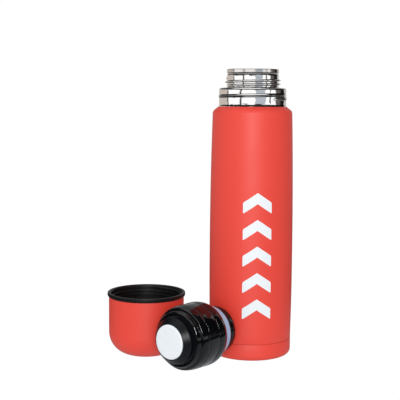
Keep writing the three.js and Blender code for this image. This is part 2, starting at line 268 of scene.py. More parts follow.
def tone_group():
    """Slow drift in tone and fine speckle, as in sprayed paint or moulded plastic."""
    tree, source, result = new_group(
        "Tone drift",
        [
            ("Color", "NodeSocketColor", (1, 1, 1, 1)),
            ("Vector", "NodeSocketVector", None),
            ("Scale", "NodeSocketFloat", 40.0),
            ("Spread", "NodeSocketFloat", 0.05),
        ],
        [("Color", "NodeSocketColor")],
    )
    vector, scale = source.outputs["Vector"], source.outputs["Scale"]
    slow = add(tree, "ShaderNodeTexNoise", {"Vector": vector, "Scale": scale}, detail=2.0)
    finer = add(tree, "ShaderNodeMath", {0: scale, 1: 30}, operation="MULTIPLY")
    speckle = add(tree, "ShaderNodeTexNoise", {
        "Vector": vector, "Scale": finer.outputs[0],
    }, detail=1.0)
    both = add(tree, "ShaderNodeMath", {
        0: slow.outputs["Fac"], 1: speckle.outputs["Fac"],
    }, operation="ADD")
    centred = add(tree, "ShaderNodeMath", {0: both.outputs[0], 1: 1}, operation="SUBTRACT")
    spread = add(tree, "ShaderNodeMath", {
        0: centred.outputs[0], 1: source.outputs["Spread"], 2: 1,
    }, operation="MULTIPLY_ADD")
    tint = add(tree, "ShaderNodeVectorMath", {
        0: source.outputs["Color"], "Scale": spread.outputs[0],
    }, operation="SCALE")
    feed(tree, result, {"Color": tint.outputs["Vector"]})
    return tree


def handling_group():
    """Smudges and rubbed places left by hands: a mask from 0 to 1."""
    tree, source, result = new_group(
        "Handling marks",
        [("Vector", "NodeSocketVector", None), ("Scale", "NodeSocketFloat", 25.0)],
        [("Mask", "NodeSocketFloat")],
    )
    noise = add(tree, "ShaderNodeTexNoise", {
        "Vector": source.outputs["Vector"], "Scale": source.outputs["Scale"],
    }, detail=5.0, roughness=0.65, distortion=0.6)
    ramp = add(tree, "ShaderNodeMapRange", {"Value": noise.outputs["Fac"]},
               from_min=0.42, from_max=0.72)
    feed(tree, result, {"Mask": ramp.outputs["Result"]})
    return tree


def wear_group():
    """Worn edges: a mask from the surface's pointiness, broken up by noise."""
    tree, source, result = new_group(
        "Edge wear",
        [
            ("Pointiness", "NodeSocketFloat", 0.5),
            ("Vector", "NodeSocketVector", None),
            ("Scale", "NodeSocketFloat", 300.0),
        ],
        [("Mask", "NodeSocketFloat")],
    )
    noise = add(tree, "ShaderNodeTexNoise", {
        "Vector": source.outputs["Vector"], "Scale": source.outputs["Scale"],
    }, detail=4.0)
    edge = add(tree, "ShaderNodeMapRange", {"Value": source.outputs["Pointiness"]},
               from_min=0.53, from_max=0.62)
    broken = add(tree, "ShaderNodeMapRange", {"Value": noise.outputs["Fac"]},
                 from_min=0.45, from_max=0.65)
    both = add(tree, "ShaderNodeMath", {
        0: edge.outputs["Result"], 1: broken.outputs["Result"],
    }, operation="MULTIPLY")
    feed(tree, result, {"Mask": both.outputs[0]})
    return tree


GROUP_MAKERS = {
    "Fine grain": grain_group,
    "Tone drift": tone_group,
    "Handling marks": handling_group,
    "Edge wear": wear_group,
}


def place_group(tree, name, inputs):
    node = tree.nodes.new("ShaderNodeGroup")
    node.node_tree = bpy.data.node_groups.get(name) or GROUP_MAKERS[name]()
    feed(tree, node, inputs)
    return node


def finish(name, color, roughness, grain=None, bump=0.05, depth=0.0001, drift=(40, 0.05),
           marks=0.08, wear=None, stretch=(1, 1, 1), turn=(0, 0, 0), shader=()):
    """A material with tone drift, handling marks, fine grain and, where given, worn edges.

    grain is the number of grains per metre and depth their height in metres, wear is the colour
    under the finish, and shader holds the constants set directly on the Principled BSDF.
    """
    made = bpy.data.materials.get(name)
    if made:
        return made
    material = bpy.data.materials.new(name)
    material.use_nodes = True
    tree = material.node_tree
    bsdf = tree.nodes["Principled BSDF"]
    feed(tree, bsdf, dict(shader))
    coords = tree.nodes.new("ShaderNodeTexCoord")
    mapping = add(tree, "ShaderNodeMapping", {
        "Vector": coords.outputs["Object"], "Rotation": turn, "Scale": stretch})
    place = mapping.outputs["Vector"]
    tone = place_group(tree, "Tone drift", {
        "Vector": place, "Scale": drift[0], "Spread": drift[1], "Color": (*color, 1)})
    top = tone.outputs["Color"]
    if wear:
        geometry = tree.nodes.new("ShaderNodeNewGeometry")
        worn = place_group(tree, "Edge wear", {
            "Vector": place, "Pointiness": geometry.outputs["Pointiness"]})
        mix = add(tree, "ShaderNodeMix", data_type="RGBA")
        feed(tree, mix, {"Factor": worn.outputs["Mask"], "A": top, "B": (*wear, 1)})
        top = mix.outputs["Result"]
    handled = place_group(tree, "Handling marks", {"Vector": place})
    gloss = add(tree, "ShaderNodeMapRange", {"Value": handled.outputs["Mask"]},
                to_min=roughness, to_max=roughness + marks)
    feed(tree, bsdf, {"Base Color": top, "Roughness": gloss.outputs["Result"]})
    if grain:
        fine = place_group(tree, "Fine grain", {"Vector": place, "Scale": grain})
        relief = add(tree, "ShaderNodeBump", {"Height": fine.outputs["Height"]},
                     strength=bump, distance=depth)
        feed(tree, bsdf, {"Normal": relief.outputs["Normal"]})
    return material


def coral_paint():
    color = bpy.context.scene.flask_finishes.paint
    return finish("soft_touch_coral", tuple(color), 0.5, grain=2600, bump=0.12,
                  drift=(30, 0.05), marks=0.07, wear=(0.75, 0.12, 0.09),
                  shader={"Specular IOR Level": 0.6})


def mirror_steel():
    return finish("polished_steel_mirror", (0.84, 0.83, 0.82), 0.025, grain=170, bump=0.8,
                  depth=0.00012, drift=(25, 0.03), marks=0.04, stretch=(1, 1, 2),
                  shader={"Metallic": 1.0})


def bore_steel():
    return finish("polished_steel_bore", (0.74, 0.72, 0.70), 0.12, grain=1200, bump=0.06,
                  drift=(20, 0.05), marks=0.12, stretch=(1, 1, 8), shader={"Metallic": 1.0})


def plain_steel():
    return finish("satin_drawn_steel", (0.62, 0.62, 0.63), 0.3, grain=1800, bump=0.12,
                  drift=(60, 0.08), marks=0.15, shader={"Metallic": 1.0})


def bright_foil():
    return finish("crinkled_foil", (0.80, 0.80, 0.82), 0.16, grain=240, bump=0.5,
                  drift=(80, 0.06), marks=0.1, shader={"Metallic": 1.0})


def gloss_black():
    return finish("gloss_black_moulding", (0.0022, 0.0024, 0.003), 0.07, grain=1500, bump=0.02,
                  drift=(60, 0.25), marks=0.06, wear=(0.006, 0.006, 0.007),
                  shader={"Specular IOR Level": 0.38})


def satin_black():
    return finish("satin_black_moulding", (0.006, 0.006, 0.0065), 0.38, grain=3200, bump=0.10,
                  drift=(70, 0.25), marks=0.12, wear=(0.03, 0.03, 0.032),
                  shader={"Specular IOR Level": 0.3})


def satin_ring():
    color = bpy.context.scene.flask_finishes.ring
    return finish("satin_blue_grey", tuple(color), 0.3, grain=4200, bump=0.1,
                  drift=(90, 0.25), marks=0.1, wear=(0.012, 0.014, 0.016),
                  shader={"Specular IOR Level": 0.22})


def white_plastic():
    color = bpy.context.scene.flask_finishes.button
    return finish("white_button_plastic", tuple(color), 0.3, grain=2400, bump=0.05,
                  drift=(80, 0.012), marks=0.08,
                  shader={"Specular IOR Level": 0.4, "Subsurface Weight": 0.05,
                          "Subsurface Scale": 0.001})


def pale_silicone():
    color = bpy.context.scene.flask_finishes.gasket
    return finish("moulded_silicone", tuple(color), 0.42, grain=2000, bump=0.06,
                  drift=(90, 0.04), marks=0.08,
                  shader={"Subsurface Weight": 0.1, "Subsurface Scale": 0.001,
                          "Specular IOR Level": 0.2})


def dark_rubber():
    return finish("moulded_rubber", (0.012, 0.012, 0.012), 0.62, grain=3800, bump=0.15,
                  drift=(120, 0.15), marks=0.1)


def solder_glass():
    return finish("fused_solder_glass", (0.05, 0.10, 0.07), 0.08, grain=500, bump=0.05,
                  drift=(200, 0.1), marks=0.05,
                  shader={"Transmission Weight": 0.35, "IOR": 1.6})


def getter_alloy():
    return finish("sintered_getter_alloy", (0.20, 0.20, 0.21), 0.6, grain=2600, bump=0.4,
                  drift=(300, 0.25), marks=0.15, shader={"Metallic": 0.7})


def print_ink():
    return finish("white_print_ink", (0.80, 0.84, 0.87), 0.5, grain=2600, bump=0.1,
                  drift=(120, 0.03), marks=0.06, shader={"Specular IOR Level": 0.35})


# Settings

class FlaskSizes(bpy.types.PropertyGroup):
    body_radius: bpy.props.FloatProperty(
        name="Body radius", description="Radius of the painted body at its widest",
        default=SHELL_HIGH.x, unit="LENGTH")
    rim_height: bpy.props.FloatProperty(
        name="Rim height", description="Height of the rolled lip above the table",
        default=LINER_HIGH.z, unit="LENGTH")
    mark_height: bpy.props.FloatProperty(
        name="Mark height", description="Height of the lowest printed mark",
        default=0.0427, unit="LENGTH")
    mark_pitch: bpy.props.FloatProperty(
        name="Mark spacing", description="Distance from one printed mark to the next",
        default=0.0232, unit="LENGTH")
    mark_turn: bpy.props.FloatProperty(
        name="Mark turn", description="How far round the body the printed marks stand",
        default=math.radians(5.5), subtype="ANGLE", unit="ROTATION")


class CupSizes(bpy.types.PropertyGroup):
    place: bpy.props.FloatVectorProperty(
        name="Place", description="Centre of the cup's foot", size=3,
        default=((CUP_LOW.x + CUP_HIGH.x) / 2, (CUP_LOW.y + CUP_HIGH.y) / 2, 0),
        subtype="TRANSLATION")
    height: bpy.props.FloatProperty(
        name="Height", description="Height of the drinking rim above the table",
        default=CUP_HIGH.z, unit="LENGTH")


class StopperSizes(bpy.types.PropertyGroup):
    skirt_radius: bpy.props.FloatProperty(
        name="Skirt radius", description="Radius of the skirt that the stopper lies on",
        default=CAP_HIGH.z / 2, unit="LENGTH")
    azimuth: bpy.props.FloatProperty(
        name="Azimuth", description="Direction in plan from the button to the plug's end",
        default=math.atan2(PRESS_AXIS[1], PRESS_AXIS[0]), subtype="ANGLE", unit="ROTATION")
    seat_place: bpy.props.FloatVectorProperty(
        name="Seat place", description="Point on the stopper's axis at the skirt's open end",
        size=3, default=(-0.0420319, -0.0426620, 0.0279), subtype="TRANSLATION")


class FlaskFinishes(bpy.types.PropertyGroup):
    paint: bpy.props.FloatVectorProperty(
        name="Paint", description="Soft-touch paint on the body and the cup", size=3,
        default=(0.80, 0.050, 0.029), min=0, max=1, subtype="COLOR")
    ring: bpy.props.FloatVectorProperty(
        name="Ring", description="Satin ring round the button", size=3,
        default=(0.003, 0.0042, 0.006), min=0, max=1, subtype="COLOR")
    button: bpy.props.FloatVectorProperty(
        name="Button", description="Plastic of the push button", size=3,
        default=(0.80, 0.84, 0.87), min=0, max=1, subtype="COLOR")
    gasket: bpy.props.FloatVectorProperty(
        name="Gasket", description="Silicone of the seal", size=3,
        default=(0.36, 0.47, 0.66), min=0, max=1, subtype="COLOR")


class StageSettings(bpy.types.PropertyGroup):
    camera_place: bpy.props.FloatVectorProperty(
        name="Camera place", description="Where the camera stands", size=3,
        default=(-0.0462, -0.85, 0.228), subtype="TRANSLATION")
    camera_pitch: bpy.props.FloatProperty(
        name="Camera pitch", description="How far the camera looks down",
        default=math.radians(6), subtype="ANGLE", unit="ROTATION")
    camera_roll: bpy.props.FloatProperty(
        name="Camera roll", description="How far the camera is turned about its own line of sight",
        default=math.radians(0.36), subtype="ANGLE", unit="ROTATION")
    lens: bpy.props.FloatProperty(
        name="Lens", description="Focal length on a 36 mm wide sensor", default=85.59,
        unit="CAMERA")
    key_power: bpy.props.FloatProperty(
        name="Key power", description="Power of the soft light in front", default=12.0,
        unit="POWER")


# Flask

SEAM = 15.0
SHOULDER = 216.3
SHOULDER_SIZE = 4.4
TAPER_START = 90.0
TAPER = 1.8
FOOT_TUCK = 0.7
FOOT_TUCK_TOP = 70.0
WALL = 0.45


def body_radius_at(height):
    """Radius of the painted body: it narrows towards the shoulder and a little at the foot."""
    widest = bpy.context.scene.flask_sizes.body_radius / MM
    taper = max(0, (height - TAPER_START) / (SHOULDER - TAPER_START)) ** 2.2
    tuck = max(0, (FOOT_TUCK_TOP - height) / (FOOT_TUCK_TOP - SEAM)) ** 1.6
    return widest - TAPER * taper - FOOT_TUCK * tuck


class FLASK_OT_body(bpy.types.Operator):
    """Makes the painted shell and its base cap, with the fine seam between them"""
    bl_idname = "flask.body"
    bl_label = "Body"

    def execute(self, context):
        heights = [SEAM + 0.3 + (SHOULDER - SEAM - 0.3) * i / 26 for i in range(27)]
        spigot = 35.6
        centre = body_radius_at(SHOULDER) - SHOULDER_SIZE
        shell = turned("painted_shell", closed(eased([
            (spigot - WALL, 7), (spigot, 7), (spigot, SEAM + 0.3),
            *[(body_radius_at(height), height) for height in heights],
            *arc(centre, SHOULDER, SHOULDER_SIZE, 6, 58, 8),
            (30.15, 222.6), (30.15, 222.05),
            *arc(centre, SHOULDER, SHOULDER_SIZE - WALL, 58, 6, 4),
            *[(body_radius_at(height) - WALL, height) for height in heights[:2:-4]],
            (spigot - WALL + 0.2, 22),
        ], 0.2, 30)), 160)
        finish_piece(shell, "flask", coral_paint(), "red_paint", "outer_shell")
        edge = body_radius_at(SEAM) + 0.05
        corner = 5.0
        cap = turned("base_cap_shell", closed(eased([
            (13, 0), (14.5, 0.7), (25.5, 0.7), (27, 0),
            *arc(edge - corner, corner, corner, -90, 0, 10),
            (edge, SEAM), (edge - WALL, SEAM), (edge - WALL, corner),
            *arc(edge - corner, corner, corner - 0.6, -8, -90, 6),
            (27.3, 0.6), (25.8, 1.3), (14.2, 1.3), (12.7, 0.6), (6, 0.6), (6, 0),
        ], 0.3, 20)), 160)
        disc = turned("base_cap_disc", eased([
            (0, 0), (2, 0), (5.7, 0), (5.9, 0.15), (5.9, 0.6), (0, 0.6)], 0.1, 30), 96)
        use(cap)
        disc.select_set(True)
        bpy.ops.object.join()
        finish_piece(cap, "flask", coral_paint(), "red_paint", "base_cap")
        return {"FINISHED"}


class FLASK_OT_neck(bpy.types.Operator):
    """Makes the drawn neck sleeve with the cup's collar thread, the ledge and the neck thread"""
    bl_idname = "flask.neck"
    bl_label = "Neck"

    def execute(self, context):
        collar = 29.8
        neck = 23.0
        outline = eased([
            (collar - WALL, 219.3), (31.6, 219.3), (31.2, 220), (30.1, 220.6), (30.1, 222.7),
            (30.02, 223.2), (29.86, 223.7), (collar, 224.2),
            *rows(collar, 227.6, 235.0, 0.18), (collar, 237.0),
            *arc(collar - 1.6, 237.2, 1.6, 10, 80, 6), (26.2, 239.0), (23.4, 239.3),
            (neck, 239.6),
            *rows(neck, 240.0, 248.8, 0.18),
            (neck, 250.1), (22.9, 250.7), (22.6, 251.0), (22.5, 251.0), (22.5, 239),
            (27.4, 237.7), (collar - WALL, 236.4),
        ], 0.3, 16)
        sleeve = turned("neck_sleeve_steel", closed(outline), 192, 40)
        raise_ridge(sleeve, 1.7, helix(
            neck, low=240.8, high=247.4, start=0.44, width=1.0, flank=0.6))
        raise_ridge(sleeve, 0.65, helix(
            collar, low=229.2, high=233.0, start=0.62, width=1.6, flank=1.6, runout=0.1))
        finish_piece(sleeve, "flask", mirror_steel(), "polished_steel", "neck_sleeve")
        return {"FINISHED"}


class FLASK_OT_liner(bpy.types.Operator):
    """Makes the inner bottle with its rolled lip, and the dished bottom"""
    bl_idname = "flask.liner"
    bl_label = "Liner"

    def execute(self, context):
        mouth = 21.7
        lip = 0.45
        rim = context.scene.flask_sizes.rim_height / MM
        liner = turned("liner_steel", closed(eased([
            (33 - WALL, 13.5), (33, 13.5), (33, 203), (32.6, 206), (31.6, 210), (29.2, 213.8),
            (26.4, 216.4), (23.4, 218.6), (mouth + WALL, 221), (mouth + WALL, rim - 3.7),
            (22.3, rim - 3.65), (22.8, rim - 3.5), (23.0, rim - 3.2), (23.0, rim - 2.8),
            (23.0, rim - 0.6), *arc(23.0 - 0.45, rim - 0.45, 0.45, 10, 80, 5),
            *arc(mouth + lip, rim - lip, lip, 100, 180, 5),
            (mouth, 221), (mouth, 220.6), (23, 218.2), (25.6, 216), (28.6, 213.4),
            (31.1, 209.8), (32.1, 206), (33 - WALL, 203),
        ], 0.6, 14)), 160, 50)
        finish_piece(liner, "flask", bore_steel(), "polished_steel", "inner_liner")
        dish = turned("liner_dish", eased([
            (0, 11.2), (20, 11), (30, 11.6), (33, 13.2), (32.55, 13.2), (30, 12.3),
            (20, 11.8), (8, 11.9), (0, 12)], 0.4, 12), 128)
        finish_piece(dish, "flask", bore_steel(), "polished_steel", "liner_bottom")
        return {"FINISHED"}


class FLASK_OT_marks(bpy.types.Operator):
    """Prints a plain column of chevrons on the body, as a film that lies on the paint"""
    bl_idname = "flask.marks"
    bl_label = "Printed marks"

    def execute(self, context):
        sizes = context.scene.flask_sizes
        width, stroke, slope, columns = 25 * MM, 9.6 * MM, 0.68, 26
        deselect()
        bpy.ops.mesh.primitive_grid_add(
            x_subdivisions=columns, y_subdivisions=4, size=1, location=(0, -0.06, 0),
            rotation=(math.radians(90), 0, 0))
        mark = context.object
        mark.name = mark.data.name = "printed_marks"
        mark.scale = (width, stroke, 1)
        mark.location.z = sizes.mark_height
        settle(mark)
        bpy.ops.object.mode_set(mode="EDIT")
        half = width / 2
        for i in range(columns + 1):
            across = -half + width * i / columns
            bpy.ops.mesh.select_all(action="DESELECT")
            bpy.ops.object.mode_set(mode="OBJECT")
            for vertex in mark.data.vertices:
                vertex.select = abs(vertex.co.x - across) < width / columns / 4
            bpy.ops.object.mode_set(mode="EDIT")
            bpy.ops.transform.translate(value=(0, 0, slope * (half - abs(across))))
        bpy.ops.mesh.select_all(action="DESELECT")
        bpy.ops.object.mode_set(mode="OBJECT")
        low = min(vertex.co.z for vertex in mark.data.vertices)
        for vertex in mark.data.vertices:
            outer = abs(abs(vertex.co.x) - half) < 1e-5
            level = vertex.co.z - low
            vertex.select = outer and (level < 1e-5 or abs(level - stroke) < 1e-5)
        bpy.ops.object.mode_set(mode="EDIT")
        bpy.ops.mesh.select_mode(type="VERT")
        bpy.ops.mesh.bevel(offset=1.1 * MM, segments=4, affect="VERTICES")
        bpy.ops.object.mode_set(mode="OBJECT")
        copies = [mark]
        for i in range(1, 5):
            use(mark)
            bpy.ops.object.duplicate(linked=False)
            copy = context.object
            copy.location.z += sizes.mark_pitch * i
            settle(copy)
            copies.append(copy)
        deselect()
        for copy in copies:
            copy.select_set(True)
        context.view_layer.objects.active = mark
        bpy.ops.object.join()
        bpy.ops.object.modifier_add(type="SHRINKWRAP")
        wrap = mark.modifiers[-1]
        wrap.target = bpy.data.objects["painted_shell"]
        wrap.wrap_method = "PROJECT"
        wrap.use_project_y = True
        wrap.use_positive_direction = True
        wrap.use_negative_direction = False
        wrap.offset = 0.02 * MM
        bpy.ops.object.modifier_add(type="SOLIDIFY")
        film = mark.modifiers[-1]
        film.thickness = 0.06 * MM
        film.offset = 1
        apply_all(mark)
        mark.rotation_euler.z = sizes.mark_turn
        settle(mark)
        bpy.ops.object.shade_smooth_by_angle(angle=math.radians(40))
        finish_piece(mark, "flask", print_ink(), "white_plastic")
        return {"FINISHED"}


# Cup

class FLASK_OT_cup(bpy.types.Operator):
    """Makes the painted cup and its black liner, with the drinking rim and the inner thread"""
    bl_idname = "flask.cup"
    bl_label = "Cup"

    def execute(self, context):
        sizes = context.scene.cup_sizes
        radius, corner = 33.75, 20.0
        flat = radius - corner
        rim = sizes.height / MM
        top = rim - 3.9
        shell = turned("cup_painted_shell", eased([
            (0, 0.4), (flat - 6, 0.4), (flat - 3, 0.4), (flat - 1.4, 0),
            *arc(flat, corner, corner, -90, 0, 18), (radius, 36), (radius, top - 0.6),
            (radius, top), (radius - WALL, top),
            *arc(flat, corner, corner - WALL, 0, -90, 12), (0, 1),
        ], 0.25, 20), 144)
        outside = radius - WALL - 0.3
        bead = rim - 3.6
        inner = corner - WALL - 0.3
        mouth = 31.9
        liner = turned("cup_black_liner", eased([
            (0, 1.6), *arc(flat, corner, inner, -90, 0, 10), (outside, bead),
            (33.9, bead), (34.6, bead + 0.3), (35, bead + 1.0), (35, rim - 0.7),
            (34.9, rim - 0.3), (34.6, rim), (33.5, rim), (32.7, rim - 0.15),
            (mouth, rim - 1.2), *rows(mouth, rim - 1.9, 43.2, 0.22),
            *arc(flat, corner, inner - 1.1, 0, -90, 14), (0, 2.7),
        ], 0.4, 14), 160, 40)
        raise_ridge(liner, 1.2, helix(mouth, low=43.9, high=rim - 2.4, start=0, width=0.85))
        shell.location = liner.location = sizes.place
        settle(shell)
        settle(liner)
        finish_piece(shell, "cup", coral_paint(), "red_paint", "cup_shell")
        finish_piece(liner, "cup", satin_black(), "satin_black", "cup_liner")
        return {"FINISHED"}


# Stopper: drawn upright with height 0 at the skirt's open end, then laid down

def lay_down(piece, body, material, slot, node):
    """Lays a piece of the stopper down in its place and finishes it."""
    sizes = bpy.context.scene.stopper_sizes
    piece.rotation_euler = (0, -math.pi / 2, sizes.azimuth)
    piece.location = sizes.seat_place
    settle(piece)
    finish_piece(piece, body, material, slot, node)


class FLASK_OT_stopper(bpy.types.Operator):
    """Makes the stopper's cap, top ring, plug, gasket and end cap"""
    bl_idname = "flask.stopper"
    bl_label = "Stopper"

    def execute(self, context):
        skirt = context.scene.stopper_sizes.skirt_radius / MM
        bore = 25.1
        ribs = []
        for height, wall in ((11.5, skirt), (24.2, skirt - 0.2)):
            ribs += [(wall, height - 0.15), (wall - 0.04, height), (wall - 0.26, height + 0.24),
                     (wall - 0.3, height + 0.5), (wall - 0.26, height + 0.8),
                     (wall - 0.08, height + 1.6)]
        cap = turned("stopper_cap_shell", closed(eased([
            (bore, 0.3), (bore + 0.1, 0), (25.5, 0), (26.1, 0.6), (26.7, 1.7), (27.2, 3),
            (27.6, 4.4), (27.85, 5.8), (skirt, 7.2), *ribs, (27.4, 27.0), (27.1, 29.2),
            (26.7, 30.9), (26.3, 31.7), (25.9, 32.1), (25.2, 32.4), (24.5, 32.6), (24.3, 33.2),
            (24.0, 34.6), (23.5, 35.6), (23.0, 36.2), (22.6, 36.4), (22.2, 36.3), (21.9, 35.8),
            (21.4, 34), (18.6, 34), (18.6, 31.6), (22.4, 30.4), (22.4, 23),
            (18.6, 21.4), (18.6, 17.4), (bore, 17.4), *rows(bore, 12, 1.6, 0.25),
        ], 0.35, 14)), 160, 40)
        raise_ridge(cap, 0.85, helix(bore, low=2.2, high=11.4, start=0.5, width=0.85))
        lay_down(cap, "stopper", gloss_black(), "gloss_black", "stopper_cap")
        ring = turned("button_ring", closed(eased([
            (15.1, 34.3), (20.8, 34.3), (20.8, 35.0), (18.3, 35.2), (18.2, 38.3), (18.8, 38.9),
            (19.5, 39.3), (19.85, 39.7), (19.9, 40.1), (19.7, 40.5), (19.3, 40.9), (17.2, 43.0),
            (15.3, 44.9), (15.0, 45.0),
        ], 0.3, 14)), 144, 40)
        lay_down(ring, "stopper", satin_ring(), "satin_grey", "top_ring")
        plug = turned("plug_moulding", closed(eased([
            (2.9, 9.5), (18, 9.5), (18, 2), (16.6, 0), (16.6, -12), (18.9, -12), (18.9, -1),
            (20.1, -1), (20.1, 17.1), (18.2, 17.1), (18.2, 21), (16.4, 21), (16.4, 12),
            (6.2, 12), (6.2, 14.8), (5.1, 14.8), (5.1, 12.4), (2.9, 12.4),
        ], 0.25, 20)), 96, 40)
        self.pierce(plug)
        lay_down(plug, "stopper", satin_black(), "satin_black", "plug_body")
        gasket = turned("gasket_lip", closed(eased([
            (19.2, -10), (21.4, -10), (21.85, -9.6), (22.0, -8.4), (22.25, -6.2), (22.6, -4.2),
            (22.8, -3.2), (22.7, -2.1), (22.2, -1.4), (19.2, -1.4),
        ], 0.3, 12)), 144, 50)
        lay_down(gasket, "stopper", pale_silicone(), "pale_silicone", "neck_gasket")
        end = turned("plug_end_moulding", closed(eased([
            (17.6, -19), (19.2, -19), (19.9, -18.5), (20.1, -17.8), (20.1, -14.2),
            (19.85, -13.9), (20.1, -13.6), (20.1, -10.3), (19.2, -10.3), (19.2, -12.3),
            (9.4, -12.3), (9.4, -14.3), (17.6, -14.3),
        ], 0.3, 16)), 144, 40)
        lay_down(end, "stopper", gloss_black(), "satin_black", "plug_end_cap")
        return {"FINISHED"}

    def pierce(self, plug):
        """Cuts the six pouring holes through the plug's web."""
        cutters = []
        for i in range(6):
            angle = i * math.tau / 6
            deselect()
            bpy.ops.mesh.primitive_cylinder_add(
                vertices=24, radius=2.6 * MM, depth=6 * MM,
                location=(12.4 * MM * math.cos(angle), 12.4 * MM * math.sin(angle), 10.75 * MM))
            cutters.append(bpy.context.object)
        for cutter in cutters:
            cutter.select_set(True)
        bpy.context.view_layer.objects.active = cutters[0]
        bpy.ops.object.join()
        use(plug)
        bpy.ops.object.modifier_add(type="BOOLEAN")
        plug.modifiers[-1].object = cutters[0]
        plug.modifiers[-1].operation = "DIFFERENCE"
        apply_all(plug)
        bpy.data.objects.remove(cutters[0])


class FLASK_OT_valve(bpy.types.Operator):
    """Makes the white button, the stem and the valve that it opens"""
    bl_idname = "flask.valve"
    bl_label = "Push valve"

    def execute(self, context):
        top = 46.0
        face = [(radius, top - 0.12 * (radius / 13) ** 2) for radius in range(12, 0, -1)]
        button = turned("button_shell", eased([
            (13.1, 43.2), (13.1, 32), (17, 32), (17, 33.8), (14.7, 33.8), (14.7, 44.7),
            (14.6, 45.2), (14.2, 45.6), (13.4, 45.8), *face, (0, top),
        ], 0.35, 14) + eased([
            (0, top), (0, 41.2), (2.9, 41.2), (2.9, 35), (4.6, 35), (4.6, 43.2), (13.1, 43.2),
        ], 0.3, 30)[1:], 120, 40)
        gate_x, gate_y, gate_spread = 7.2, 5.2, 1.6
        raise_ridge(button, -0.35, lambda x, y, z: 0 if z < top - 1 else math.exp(
            -((x - gate_x) ** 2 + (y - gate_y) ** 2) / gate_spread))
        lay_down(button, "push_valve", white_plastic(), "white_plastic", "push_button")
        stem = turned("stem_rod", eased([
            (0, -14.5), (2.1, -14.5), (2.5, -14), (2.5, 40.2), (2.1, 40.7), (0, 40.7)], 0.2), 48)
        disc = turned("valve_plate", eased([
            (0, -17.2), (10.6, -17.2), (11.2, -16.9), (11.4, -16.4), (11.4, -15.75), (4.6, -15.75),
            (4.6, -9), (2.9, -9), (2.9, -14.8), (0, -14.8)], 0.25), 96)
        seal = turned("valve_ring", closed(eased([
            (5, -15.45), (11.4, -15.45), (11.4, -14.65), (5, -14.65)], 0.2)), 96)
        for piece, material, slot, node in (
                (stem, plain_steel(), "plain_steel", "valve_stem"),
                (disc, satin_black(), "satin_black", "valve_disc"),
                (seal, pale_silicone(), "pale_silicone", "valve_seal")):
            lay_down(piece, "push_valve", material, slot, node)
        self.spring(context.scene.stopper_sizes)
        return {"FINISHED"}

    def spring(self, sizes):
        """Winds the spring round the stem."""
        low, high, wire, turns, travel = 17.2, 42, 0.6, 7, 4
        deselect()
        bpy.ops.mesh.primitive_circle_add(
            vertices=10, radius=wire * MM, location=(6.6 * MM, 0, low * MM),
            rotation=(math.pi / 2, 0, 0))
        spring = bpy.context.object
        spring.name = "coil_spring"
        settle(spring)
        bpy.ops.object.modifier_add(type="SCREW")
        coil = spring.modifiers[-1]
        coil.screw_offset = (high - low) / turns * MM
        coil.iterations = turns
        coil.steps = coil.render_steps = 32
        apply_all(spring)
        bpy.ops.object.mode_set(mode="EDIT")
        bpy.ops.mesh.select_all(action="SELECT")
        bpy.ops.mesh.fill_holes(sides=0)
        bpy.ops.mesh.select_all(action="SELECT")
        bpy.ops.mesh.normals_make_consistent(inside=False)
        bpy.ops.object.mode_set(mode="OBJECT")
        lay_down(spring, "stopper", plain_steel(), "plain_steel", "return_spring")
        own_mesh(spring)


class FLASK_OT_hidden_parts(bpy.types.Operator):
    """Gives the parts inside the walls and the stopper their finishes"""
    bl_idname = "flask.hidden_parts"
    bl_label = "Hidden parts"

    def execute(self, context):
        finishes = {
            "radiation_foil": bright_foil, "vacuum_base": plain_steel, "port_seal": solder_glass,
            "getter_holder": plain_steel, "getter_pellet": getter_alloy,
            "stem_o_ring": dark_rubber, "spring_seat": plain_steel,
        }
        for node, make in finishes.items():
            piece = frame["nodes"][node]
            for slot in piece.material_slots:
                slot.material = make()
        return {"FINISHED"}


# Stage

# Colour of the surroundings at each direction round the flask: degrees from the camera's side,
# positive to the right.
SURROUNDINGS = [
    (-180, (0.50, 0.45, 0.41)), (-99, (0.50, 0.45, 0.41)), (-98, (0.01, 0.01, 0.01)),
    (-94, (0.01, 0.01, 0.01)), (-93, (1.0, 1.0, 1.0)), (-47, (1.0, 1.0, 1.0)),
    (-46, (0.06, 0.06, 0.06)), (-41, (0.06, 0.06, 0.06)), (-40, (1.0, 1.0, 1.0)),
    (5, (1.0, 1.0, 1.0)), (8, (0.42, 0.46, 0.51)), (40, (0.42, 0.46, 0.51)),
    (43, (1.0, 1.0, 1.0)), (56, (1.0, 1.0, 1.0)), (57, (0.04, 0.05, 0.06)),
    (61, (0.04, 0.05, 0.06)), (63, (1.0, 1.0, 1.0)), (79, (1.0, 1.0, 1.0)),
    (82, (0.13, 0.11, 0.10)), (104, (0.09, 0.075, 0.07)), (108, (0.012, 0.01, 0.01)),
    (131, (0.012, 0.01, 0.01)), (134, (0.46, 0.46, 0.46)), (180, (0.50, 0.45, 0.41)),
]


# Brightness overhead at each height in degrees: a dark gap between the walls and the ceiling.
CEILING = [(6, 0.02), (46, 0.02), (54, 0.9), (90, 0.9)]
# Share of that brightness at each direction round the flask, in degrees as above.
CEILING_SIDES = [
    (-180, 0.8), (-100, 0.9), (-80, 1.0), (60, 1.0), (78, 0.04), (122, 0.04), (140, 0.8),
    (180, 0.8),
]
# Brightness of the wall behind, at each direction round the flask.
BACK_WALL = [(-180, 0.3), (-160, 0.3), (-145, 0.0), (136, 0.0), (148, 0.45), (180, 0.3)]
# Floor as polished surfaces see it: distance from the flask in metres, and colour.
FLOOR_RINGS = [
    (0, (0.5, 0.52, 0.55)), (0.15, (0.5, 0.52, 0.55)), (0.2, (0.02, 0.02, 0.02)),
    (1.3, (0.02, 0.02, 0.02)), (1.7, (0.6, 0.6, 0.6)), (3, (0.6, 0.6, 0.6)),
]
FLOOR_SIZE = 6
FLOOR_LIGHT = 0.62
